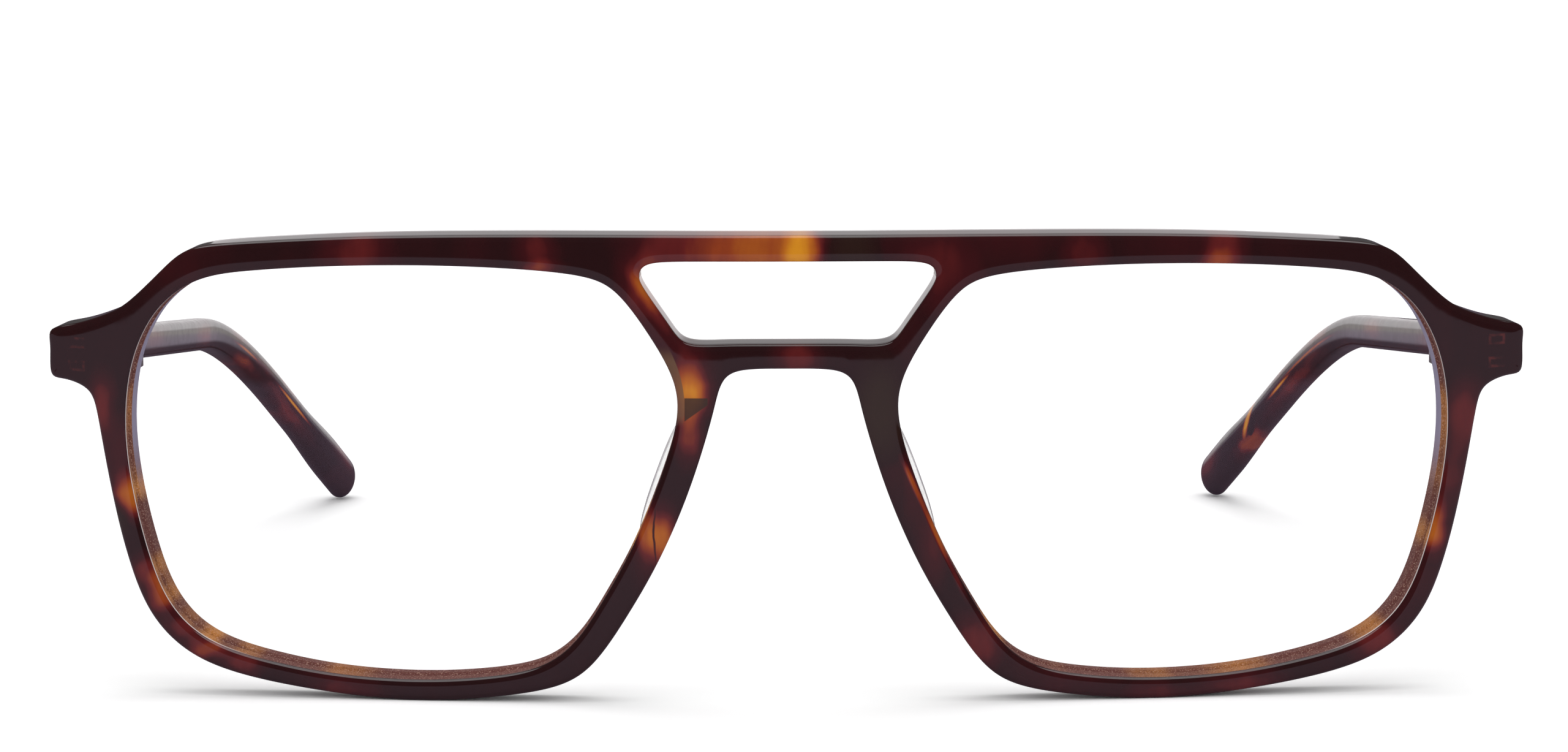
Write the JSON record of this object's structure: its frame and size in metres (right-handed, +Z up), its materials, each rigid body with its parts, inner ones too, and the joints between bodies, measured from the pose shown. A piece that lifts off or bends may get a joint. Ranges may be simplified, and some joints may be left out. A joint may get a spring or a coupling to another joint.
{
  "type": "eyeglasses",
  "caption": "Aviator eyeglasses in dark tortoise acetate with a double bridge, clear lenses and folding temples.",
  "frame": {"origin": "centre of the bounding box's underside, on the table that the open pair stands on", "axes": "+X to the wearer's left, +Y from the front back to the temple tips, +Z up"},
  "size_m": [0.145, 0.139, 0.0465],
  "materials": {
    "tortoise acetate": "polished, dark brown with amber flecks",
    "clear lens": "clear, polished",
    "pale acetate": "polished, clear pale",
    "hinge steel": "satin",
    "screw steel": "polished",
    "core wire brass": "satin"
  },
  "bodies": {
    "front_frame": {"front": "tortoise acetate", "lens_left": "clear lens", "lens_right": "clear lens", "nose_pad_left": "pale acetate", "nose_pad_right": "pale acetate", "front_hinge_left": "hinge steel", "front_hinge_right": "hinge steel", "hinge_screw_left": "screw steel", "hinge_screw_right": "screw steel"},
    "left_temple": {"temple_left": "tortoise acetate", "temple_hinge_left": "hinge steel", "core_wire_left": "core wire brass"},
    "right_temple": {"temple_right": "tortoise acetate", "temple_hinge_right": "hinge steel", "core_wire_right": "core wire brass"}
  },
  "joints": [
    {"name": "left_fold", "type": "hinge", "parent": "front_frame", "child": "left_temple", "pos_m": [0.06516, -0.05573, 0.03421], "axis": [0, -0.0578, 0.9983], "range_deg": [0, 84]},
    {"name": "right_fold", "type": "hinge", "parent": "front_frame", "child": "right_temple", "pos_m": [-0.06516, -0.05573, 0.03421], "axis": [0, 0.0578, -0.9983], "range_deg": [0, 79]}
  ]
}
